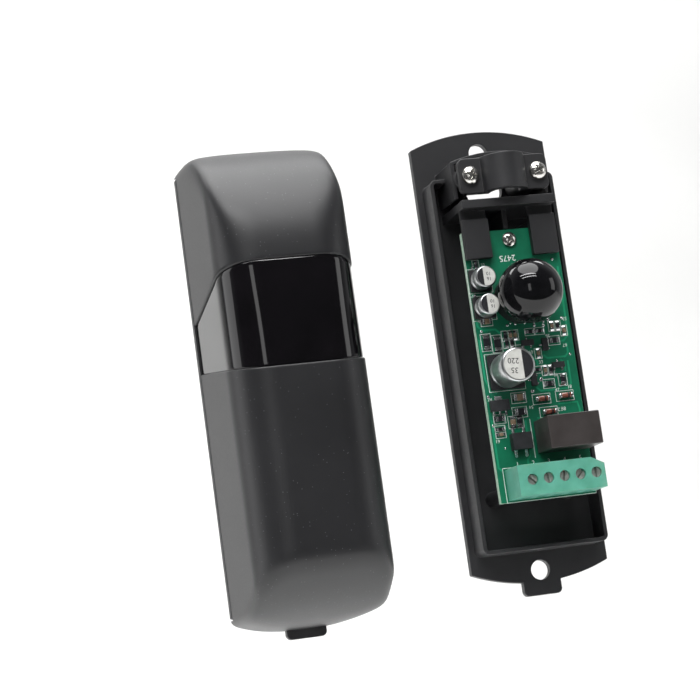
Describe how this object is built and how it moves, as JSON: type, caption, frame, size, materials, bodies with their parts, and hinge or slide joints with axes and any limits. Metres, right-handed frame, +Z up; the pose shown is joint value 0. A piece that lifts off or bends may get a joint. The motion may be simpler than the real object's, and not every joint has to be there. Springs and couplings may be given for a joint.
{
  "type": "gate safety photocell",
  "caption": "Gate safety photocell pair: a closed transmitter in its dark cover and an open receiver with its board, ball lens, relay, terminals and cable saddle.",
  "frame": {"origin": "on the wall, halfway between the receiver's two fixing holes", "axes": "+Z up the units, -Y straight out from the wall, +X to the right as seen from the front"},
  "size_m": [0.0904, 0.0344, 0.1137],
  "materials": {
    "base_plastic": "satin black",
    "plated_steel": "bright zinc plated",
    "circuit_board": "green solder mask, semi-gloss",
    "dark_plastic": "matte black",
    "lens_plastic": "polished, dark infrared-pass",
    "can_aluminium": "satin",
    "diode_glass": "reddish glass",
    "chip_ceramic": "matte",
    "terminal_plastic": "satin green",
    "tinned_metal": "tinned",
    "cage_brass": "plain brass",
    "relay_plastic": "matte black",
    "winding_copper": "enamelled copper wire on a black bobbin",
    "emitter_resin": "pale resin",
    "cover_plastic": "fine-grained matte dark grey",
    "window_plastic": "polished near-black infrared-pass"
  },
  "bodies": {
    "fixed": {"receiver_base": "base_plastic", "receiver_board": "circuit_board", "receiver_board_screw": "plated_steel", "receiver_lens_tube": "dark_plastic", "receiver_lens": "lens_plastic", "receiver_main_capacitor": "can_aluminium", "receiver_regulator": "dark_plastic", "receiver_glass_diodes": "diode_glass", "receiver_transistors": "dark_plastic", "receiver_chip_parts": "chip_ceramic", "receiver_terminal_housing": "terminal_plastic", "receiver_terminal_contacts": "tinned_metal", "transmitter_base": "base_plastic", "transmitter_board": "circuit_board", "transmitter_board_screw": "plated_steel", "transmitter_lens_tube": "dark_plastic", "transmitter_lens": "lens_plastic", "transmitter_main_capacitor": "can_aluminium", "transmitter_regulator": "dark_plastic", "transmitter_glass_diodes": "diode_glass", "transmitter_transistors": "dark_plastic", "transmitter_chip_parts": "chip_ceramic", "transmitter_terminal_housing": "terminal_plastic", "transmitter_terminal_contacts": "tinned_metal", "receiver_photodiode": "dark_plastic", "receiver_small_capacitors": "can_aluminium", "receiver_relay_case": "relay_plastic", "receiver_relay_base": "relay_plastic", "receiver_relay_coil": "winding_copper", "receiver_bridge_rectifier": "dark_plastic", "transmitter_emitter": "emitter_resin"},
    "transmitter_cover": {"transmitter_cover_hood": "cover_plastic", "transmitter_window": "window_plastic", "transmitter_cover_lower": "cover_plastic"},
    "receiver_saddle": {"receiver_saddle": "base_plastic"},
    "receiver_saddle_screw_left": {"receiver_saddle_screw_left": "plated_steel"},
    "receiver_saddle_screw_right": {"receiver_saddle_screw_right": "plated_steel"},
    "transmitter_saddle": {"transmitter_saddle": "base_plastic"},
    "transmitter_saddle_screw_left": {"transmitter_saddle_screw_left": "plated_steel"},
    "transmitter_saddle_screw_right": {"transmitter_saddle_screw_right": "plated_steel"},
    "receiver_relay_armature": {"receiver_relay_armature": "tinned_metal"},
    "receiver_terminal_screw_1": {"receiver_terminal_screw_1": "plated_steel"},
    "receiver_terminal_cage_1": {"receiver_terminal_cage_1": "cage_brass"},
    "receiver_terminal_screw_2": {"receiver_terminal_screw_2": "plated_steel"},
    "receiver_terminal_cage_2": {"receiver_terminal_cage_2": "cage_brass"},
    "receiver_terminal_screw_3": {"receiver_terminal_screw_3": "plated_steel"},
    "receiver_terminal_cage_3": {"receiver_terminal_cage_3": "cage_brass"},
    "receiver_terminal_screw_4": {"receiver_terminal_screw_4": "plated_steel"},
    "receiver_terminal_cage_4": {"receiver_terminal_cage_4": "cage_brass"},
    "receiver_terminal_screw_5": {"receiver_terminal_screw_5": "plated_steel"},
    "receiver_terminal_cage_5": {"receiver_terminal_cage_5": "cage_brass"},
    "transmitter_terminal_screw_1": {"transmitter_terminal_screw_1": "plated_steel"},
    "transmitter_terminal_cage_1": {"transmitter_terminal_cage_1": "cage_brass"},
    "transmitter_terminal_screw_2": {"transmitter_terminal_screw_2": "plated_steel"},
    "transmitter_terminal_cage_2": {"transmitter_terminal_cage_2": "cage_brass"}
  },
  "joints": [
    {"name": "transmitter_cover_lift", "type": "slide", "parent": "fixed", "child": "transmitter_cover", "axis": [0, -1, 0], "range_m": [0, 0.04]},
    {"name": "receiver_saddle_lift", "type": "slide", "parent": "fixed", "child": "receiver_saddle", "axis": [0, -1, 0], "range_m": [0, 0.0012]},
    {"name": "receiver_saddle_screw_left_turn", "type": "hinge", "parent": "receiver_saddle", "child": "receiver_saddle_screw_left", "pos_m": [-0.0082, -0.0178, 0.0409], "axis": [0, -1, 0], "range_deg": [0, 1080]},
    {"name": "receiver_saddle_screw_right_turn", "type": "hinge", "parent": "receiver_saddle", "child": "receiver_saddle_screw_right", "pos_m": [0.0082, -0.0178, 0.0409], "axis": [0, -1, 0], "range_deg": [0, 1080]},
    {"name": "transmitter_saddle_lift", "type": "slide", "parent": "fixed", "child": "transmitter_saddle", "axis": [0, -1, 0], "range_m": [0, 0.0012]},
    {"name": "transmitter_saddle_screw_left_turn", "type": "hinge", "parent": "transmitter_saddle", "child": "transmitter_saddle_screw_left", "pos_m": [-0.0652, -0.0178, 0.0382], "axis": [0, -1, 0], "range_deg": [0, 1080]},
    {"name": "transmitter_saddle_screw_right_turn", "type": "hinge", "parent": "transmitter_saddle", "child": "transmitter_saddle_screw_right", "pos_m": [-0.0488, -0.0178, 0.0382], "axis": [0, -1, 0], "range_deg": [0, 1080]},
    {"name": "receiver_relay_armature_pull", "type": "hinge", "parent": "fixed", "child": "receiver_relay_armature", "pos_m": [0.0015, -0.0217, -0.0207], "axis": [0, 0, 1], "range_deg": [0, 3], "stiffness_Nm_per_rad": 0.005, "springref_deg": -2.86},
    {"name": "receiver_terminal_screw_1_turn", "type": "hinge", "parent": "fixed", "child": "receiver_terminal_screw_1", "pos_m": [-0.006, -0.0213, -0.0308], "axis": [0, 1, 0], "range_deg": [0, 1260]},
    {"name": "receiver_terminal_cage_1_climb", "type": "slide", "parent": "fixed", "child": "receiver_terminal_cage_1", "axis": [0, -1, 0], "range_m": [0, 0.0014]},
    {"name": "receiver_terminal_screw_2_turn", "type": "hinge", "parent": "fixed", "child": "receiver_terminal_screw_2", "pos_m": [-0.00219, -0.0213, -0.0308], "axis": [0, 1, 0], "range_deg": [0, 1260]},
    {"name": "receiver_terminal_cage_2_climb", "type": "slide", "parent": "fixed", "child": "receiver_terminal_cage_2", "axis": [0, -1, 0], "range_m": [0, 0.0014]},
    {"name": "receiver_terminal_screw_3_turn", "type": "hinge", "parent": "fixed", "child": "receiver_terminal_screw_3", "pos_m": [0.00162, -0.0213, -0.0308], "axis": [0, 1, 0], "range_deg": [0, 1260]},
    {"name": "receiver_terminal_cage_3_climb", "type": "slide", "parent": "fixed", "child": "receiver_terminal_cage_3", "axis": [0, -1, 0], "range_m": [0, 0.0014]},
    {"name": "receiver_terminal_screw_4_turn", "type": "hinge", "parent": "fixed", "child": "receiver_terminal_screw_4", "pos_m": [0.00543, -0.0213, -0.0308], "axis": [0, 1, 0], "range_deg": [0, 1260]},
    {"name": "receiver_terminal_cage_4_climb", "type": "slide", "parent": "fixed", "child": "receiver_terminal_cage_4", "axis": [0, -1, 0], "range_m": [0, 0.0014]},
    {"name": "receiver_terminal_screw_5_turn", "type": "hinge", "parent": "fixed", "child": "receiver_terminal_screw_5", "pos_m": [0.00924, -0.0213, -0.0308], "axis": [0, 1, 0], "range_deg": [0, 1260]},
    {"name": "receiver_terminal_cage_5_climb", "type": "slide", "parent": "fixed", "child": "receiver_terminal_cage_5", "axis": [0, -1, 0], "range_m": [0, 0.0014]},
    {"name": "transmitter_terminal_screw_1_turn", "type": "hinge", "parent": "fixed", "child": "transmitter_terminal_screw_1", "pos_m": [-0.0592, -0.0213, -0.0335], "axis": [0, 1, 0], "range_deg": [0, 1260]},
    {"name": "transmitter_terminal_cage_1_climb", "type": "slide", "parent": "fixed", "child": "transmitter_terminal_cage_1", "axis": [0, -1, 0], "range_m": [0, 0.0014]},
    {"name": "transmitter_terminal_screw_2_turn", "type": "hinge", "parent": "fixed", "child": "transmitter_terminal_screw_2", "pos_m": [-0.05539, -0.0213, -0.0335], "axis": [0, 1, 0], "range_deg": [0, 1260]},
    {"name": "transmitter_terminal_cage_2_climb", "type": "slide", "parent": "fixed", "child": "transmitter_terminal_cage_2", "axis": [0, -1, 0], "range_m": [0, 0.0014]}
  ],
  "couplings": [
    {"joint": "receiver_saddle_screw_left_turn", "follows": "receiver_saddle_lift", "rad_per_m": 15708},
    {"joint": "receiver_saddle_screw_right_turn", "follows": "receiver_saddle_lift", "rad_per_m": 15708},
    {"joint": "transmitter_saddle_screw_left_turn", "follows": "transmitter_saddle_lift", "rad_per_m": 15708},
    {"joint": "transmitter_saddle_screw_right_turn", "follows": "transmitter_saddle_lift", "rad_per_m": 15708},
    {"joint": "receiver_terminal_screw_1_turn", "follows": "receiver_terminal_cage_1_climb", "rad_per_m": 15708},
    {"joint": "receiver_terminal_screw_2_turn", "follows": "receiver_terminal_cage_2_climb", "rad_per_m": 15708},
    {"joint": "receiver_terminal_screw_3_turn", "follows": "receiver_terminal_cage_3_climb", "rad_per_m": 15708},
    {"joint": "receiver_terminal_screw_4_turn", "follows": "receiver_terminal_cage_4_climb", "rad_per_m": 15708},
    {"joint": "receiver_terminal_screw_5_turn", "follows": "receiver_terminal_cage_5_climb", "rad_per_m": 15708},
    {"joint": "transmitter_terminal_screw_1_turn", "follows": "transmitter_terminal_cage_1_climb", "rad_per_m": 15708},
    {"joint": "transmitter_terminal_screw_2_turn", "follows": "transmitter_terminal_cage_2_climb", "rad_per_m": 15708}
  ]
}
